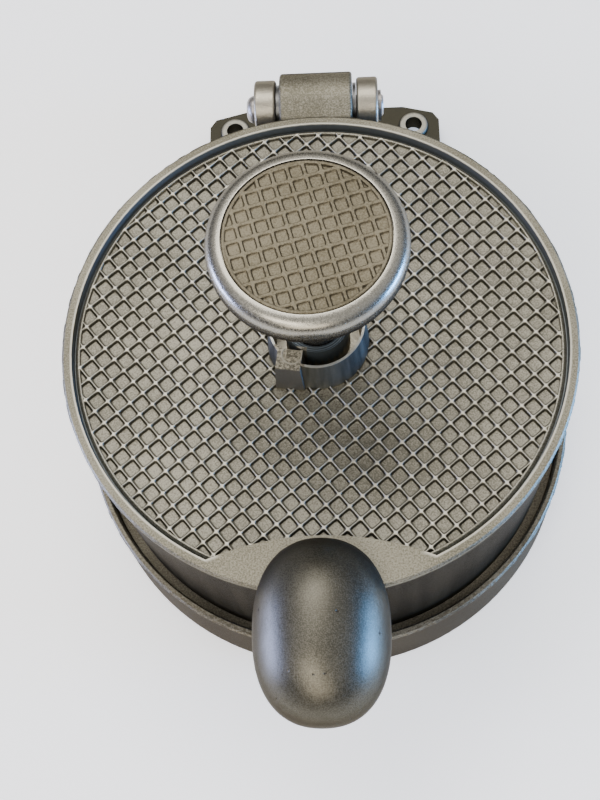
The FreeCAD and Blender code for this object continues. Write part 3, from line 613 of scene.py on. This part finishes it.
def relief_sheet(name, turn, pitches, phases, edge, keep, height, bottom):
    """Mesh of a lattice within a round edge: keep chooses points, height gives their level."""
    extent = edge + pitches[0]
    along, away_u = lattice_line(pitches[0], phases[0], extent)
    across, away_v = lattice_line(pitches[1], phases[1], extent)
    u, v = np.meshgrid(along, across, indexing="ij")
    near_u, near_v = np.meshgrid(away_u, away_v, indexing="ij")
    x = AXIS_X + u * math.cos(turn) - v * math.sin(turn)
    y = AXIS_Y + u * math.sin(turn) + v * math.cos(turn)
    level = height(x, y, near_u, near_v)
    good = keep(x, y)
    pull = np.minimum(1, edge / np.maximum(np.hypot(x - AXIS_X, y - AXIS_Y), edge / 2))
    x, y = AXIS_X + (x - AXIS_X) * pull, AXIS_Y + (y - AXIS_Y) * pull
    square = good[:-1, :-1] & good[1:, :-1] & good[1:, 1:] & good[:-1, 1:]
    number = np.arange(u.size).reshape(u.shape)
    quads = np.stack([number[:-1, :-1][square], number[1:, :-1][square],
                      number[1:, 1:][square], number[:-1, 1:][square]], axis=1)
    used, faces = np.unique(quads, return_inverse=True)
    points = np.stack([x.ravel()[used], y.ravel()[used], level.ravel()[used]], axis=1)
    mesh = bpy.data.meshes.new(name)
    mesh.from_pydata(points.tolist(), [], faces.reshape(-1, 4).tolist())
    sheet = bmesh.new()
    sheet.from_mesh(mesh)
    rim = [edge for edge in sheet.edges if edge.is_boundary]
    skirt = bmesh.ops.extrude_edge_only(sheet, edges=rim)["geom"]
    low_edges = [item for item in skirt if isinstance(item, bmesh.types.BMEdge)
                 and item.is_boundary]
    for corner in {vert for edge in low_edges for vert in edge.verts}:
        corner.co.z = bottom
    bmesh.ops.triangle_fill(sheet, edges=low_edges, use_beauty=False)
    bmesh.ops.recalc_face_normals(sheet, faces=sheet.faces)
    for face in sheet.faces:
        face.smooth = abs(face.normal.z) > 0.2
    sheet.to_mesh(mesh)
    sheet.free()
    piece = bpy.data.objects.new(name, mesh)
    bpy.context.scene.collection.objects.link(piece)
    return piece


print("sheet maker ready")

# %% [markdown]
# On the lid the lattice is about four millimetres from ridge to ridge and stands nearly
# cornerwise to the handle. Ridges rise one millimetre. Castings are never quite regular,
# so a slow ripple changes the ridge height by a few hundredths.

# %% Lid lattice
LATTICE_PITCH = (4.046 * MM, 4.011 * MM)
LATTICE_TURN = math.radians(39.38)
LATTICE_PHASE = (-0.44, -0.47)
LATTICE_EDGE = 61.2 * MM
CELL_FLOOR = 77.05 * MM
RIDGE_HEIGHT = 1.0 * MM


CELL_CORNER = 6.0
WALL_FOOT, WALL_HEAD = 0.71, 0.99
RIPPLE_SHARE = 0.05
FLOOR_SAG = 0.06 * MM
TUCK = 0.9 * MM


def in_recess(x, y):
    """True between the collar, the rim and the smooth pad, and a little way into each."""
    from_axis = np.hypot(x - AXIS_X, y - AXIS_Y)
    from_pad = np.hypot(x - AXIS_X, y - AXIS_Y + PAD_CENTRE)
    ring = (from_axis < LATTICE_EDGE + 0.7 * MM) & (from_axis > COLLAR_RADIUS + 0.1 * MM)
    return ring & (from_pad > PAD_RADIUS - TUCK)


def lattice_level(x, y, near_u, near_v):
    """Height of the lattice's skin."""
    rise = cell_height(near_u, near_v, CELL_CORNER, WALL_FOOT, WALL_HEAD)
    ripple = 1 + RIPPLE_SHARE * np.sin(x * 310 + 1.3) * np.sin(y * 270)
    sag = FLOOR_SAG * (near_u ** 2 + near_v ** 2) * (rise < 0.5)
    return CELL_FLOOR + RIDGE_HEIGHT * ripple * rise + sag


lid_lattice = relief_sheet("lid_lattice", LATTICE_TURN, LATTICE_PITCH, LATTICE_PHASE,
                           LATTICE_EDGE, in_recess, lattice_level, 76.6 * MM)
print("lid lattice has", len(lid_lattice.data.polygons), "faces")

# %% [markdown]
# Ridge tops are painted paler than the cells, and the walls that face the hinge carry a
# painted highlight. Painted shade darkens the foot of the walls that face the handle, and the
# corner along the pad. The finish reads how high a point stands and which way it faces.

# %% Lattice finish
lattice_metal = cast_metal("lattice_casting", (0.112, 0.105, 0.084), (0.25, 0.238, 0.195), 0.48,
                           grain=2300)
height_now = lattice_metal.axes()[2]
pale_tops_and_highlight = lattice_metal.ramp(height_now, CELL_FLOOR + 0.84 * RIDGE_HEIGHT,
                            CELL_FLOOR + RIDGE_HEIGHT)
foot = lattice_metal.both(
    lattice_metal.ramp(height_now, CELL_FLOOR + 0.04 * MM, CELL_FLOOR + 0.12 * MM),
    lattice_metal.ramp(height_now, CELL_FLOOR + 0.85 * MM, CELL_FLOOR + 0.5 * MM))
# Painted shade along the pad's edge.
pad_shade = lattice_metal.ramp(lattice_metal.reach(AXIS_Y - PAD_CENTRE),
                               PAD_RADIUS + 0.6 * MM, PAD_RADIUS + 0.1 * MM)
facing = lattice_metal.add("ShaderNodeSeparateXYZ")
lattice_metal.link(lattice_metal.place.node.outputs["Normal"], facing.inputs[0])
# Painted shade on the foot of the walls that face the handle.
far_wall_shade = lattice_metal.ramp(facing.outputs["Y"], -0.12, -0.40)
# Painted highlight on the walls that face the hinge; ridge tops are also painted paler.
near_wall_highlight = lattice_metal.ramp(facing.outputs["Y"], 0.10, 0.35)
painted_wall_shade = lattice_metal.math("MAXIMUM", lattice_metal.math("MULTIPLY", foot, far_wall_shade),
                           lattice_metal.math("MULTIPLY", pad_shade, 0.6))
pale_tops_and_highlight = lattice_metal.math("MAXIMUM", pale_tops_and_highlight, lattice_metal.math("MULTIPLY", near_wall_highlight, 0.7))
for mask, share, finish in ((painted_wall_shade, 0.85, (0.04, 0.038, 0.03)),
                            (pale_tops_and_highlight, 0.65, (0.60, 0.58, 0.50))):
    recolour(lattice_metal, lattice_metal.math("MULTIPLY", mask, share), finish)
lid_lattice.data.materials.append(lattice_metal.material)
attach(lid_lattice, "lid")
print("lattice dressed")

# %% [markdown]
# Where the lattice ends, the pattern runs out into a plain band that slopes down to the
# channel inside the rim. Anything round like that is turned: a closed outline of radius and
# height pairs goes once round the plunger's axis, with the radius free to waver.

# %% Turned pieces


def lathe(name, profile, steps=160, waver=None):
    """Closed ring turned round the plunger's axis from (radius, height) corners."""
    count = len(profile)
    points, faces = [], []
    for step in range(steps):
        angle = 2 * math.pi * step / steps
        for index, (radius, level) in enumerate(profile):
            grow = waver(step, index) if waver else 0.0
            points.append((AXIS_X + (radius + grow) * math.cos(angle),
                           AXIS_Y + (radius + grow) * math.sin(angle), level))
        following = (step + 1) % steps
        for index in range(count):
            other = (index + 1) % count
            faces.append((step * count + index, following * count + index,
                          following * count + other, step * count + other))
    mesh = bpy.data.meshes.new(name)
    mesh.from_pydata(points, [], faces)
    for face in mesh.polygons:
        face.use_smooth = True
    ring = bpy.data.objects.new(name, mesh)
    bpy.context.scene.collection.objects.link(ring)
    return ring


RIDGE_TOP = CELL_FLOOR + RIDGE_HEIGHT
BAND_OUTLINE = (
    (-0.45 * MM, CELL_FLOOR - 0.3 * MM), (0.90 * MM, CELL_FLOOR - 0.3 * MM),
    (0.85 * MM, CELL_FLOOR + 0.05 * MM), (0.5 * MM, CELL_FLOOR + 0.45 * MM),
    (0.15 * MM, RIDGE_TOP - 0.18 * MM), (-0.1 * MM, RIDGE_TOP - 0.02 * MM),
    (-0.35 * MM, RIDGE_TOP - 0.08 * MM), (-0.45 * MM, RIDGE_TOP - 0.35 * MM))
lattice_band = lathe("lattice_band", [(LATTICE_EDGE + out, level) for out, level in BAND_OUTLINE])
band_metal = cast_metal("lattice_band_casting", (0.20, 0.19, 0.15), (0.40, 0.385, 0.325), 0.46,
                        grain=2300)
lattice_band.data.materials.append(band_metal.material)
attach(lattice_band, "lid")
print("band has", len(lattice_band.data.polygons), "faces")

# %% [markdown]
# Sand castings are never trimmed perfectly. Where two halves of the mould met, a thin fin of
# metal is left, and grinding leaves it ragged. One such fin goes round the top edge of the
# lid and two round the dish, each a narrow ring whose outside wavers by a tenth or two.

# %% Ragged casting fins


def ragged(seed, step_length, most):
    """Radius change that holds for a few steps, then jumps, as chipped metal does."""
    draw = np.random.default_rng(seed)
    nicks = []
    while len(nicks) < FIN_STEPS:
        nicks += [float(draw.uniform(0, most))] * int(draw.integers(1, step_length))
    return lambda step, index: nicks[step] if index in (1, 2) else 0.0


FIN_STEPS = 720
FIN_WIDTH = 0.6 * MM
LONGEST_CHIP = 6
for name, body, slot, finish, radius, level, most in (
        ("lid_fin", "lid", "lid_casting", lid.material, 64.9 * MM, 79.35 * MM, 0.22 * MM),
        ("base_fin", "base", "base_casting", base_metal.material, 68.8 * MM, 27.6 * MM, 0.34 * MM),
        ("skirt_fin", "base", "base_casting", base_metal.material, 69.2 * MM, 2.6 * MM, 0.33 * MM)):
    fin = lathe(name, [(radius - FIN_WIDTH, level - 0.35 * MM), (radius, level - 0.25 * MM),
                       (radius, level + 0.25 * MM), (radius - FIN_WIDTH, level + 0.35 * MM)],
                FIN_STEPS, ragged(len(name), LONGEST_CHIP, most))
    fin.data.materials.append(finish)
    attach(fin, body)
    print(name, "has", len(fin.data.polygons), "faces")

# %% [markdown]
# The knob's inlay carries a finer grid, here of separate square pockets sunk into a flat
# disc. A plain turned border goes round it, and the grid's sheet passes under that border,
# so pockets end in a clean arc.

# %% Inlay border
INLAY_RADIUS = 18.2 * MM
INLAY_BORDER = 17.35 * MM
INLAY_BOTTOM = KNOB_TOP - 1.6 * MM
inlay_ring = lathe("inlay_ring", [
    (INLAY_BORDER, INLAY_BOTTOM), (INLAY_RADIUS, INLAY_BOTTOM),
    (INLAY_RADIUS, KNOB_TOP - 0.3 * MM), (INLAY_RADIUS - 0.08 * MM, KNOB_TOP - 0.1 * MM),
    (INLAY_RADIUS - 0.25 * MM, KNOB_TOP), (INLAY_BORDER + 0.05 * MM, KNOB_TOP),
    (INLAY_BORDER, KNOB_TOP - 0.05 * MM)])
print("border turned")

# %% [markdown]
# The grid itself is the lattice's rule turned upside down: pockets are sunk from a flat top
# instead of ridges standing on a floor. Disc and border are joined into one piece, since the
# real inlay is one stamping.

# %% Inlay grid
GRID_TURN = math.radians(15.42)
GRID_PITCH = (3.519 * MM, 3.513 * MM)
GRID_PHASE = (0.08, 0.905)
POCKET_DEPTH = 0.6 * MM
POCKET_CORNER = 9
POCKET_FOOT, POCKET_LIP = 0.70, 0.80


def under_border(x, y):
    """True on the disc and a little way under its border."""
    return np.hypot(x - AXIS_X, y - AXIS_Y) < INLAY_BORDER + TUCK


def pocket_level(x, y, near_u, near_v):
    """Height of the inlay's skin."""
    climb = cell_height(near_u, near_v, POCKET_CORNER, POCKET_FOOT, POCKET_LIP)
    return KNOB_TOP - 0.02 * MM - POCKET_DEPTH * (1 - climb)


inlay = relief_sheet("inlay_grid", GRID_TURN, GRID_PITCH, GRID_PHASE, INLAY_BORDER + 0.3 * MM,
                     under_border, pocket_level, INLAY_BOTTOM)
with bpy.context.temp_override(active_object=inlay, selected_editable_objects=[inlay, inlay_ring],
                               selected_objects=[inlay, inlay_ring], object=inlay):
    bpy.ops.object.join()
inlay.data.materials.append(inlay_metal.material)
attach(inlay, "plunger")
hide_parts("knob_inlay")
print("inlay has", len(inlay.data.polygons), "faces")
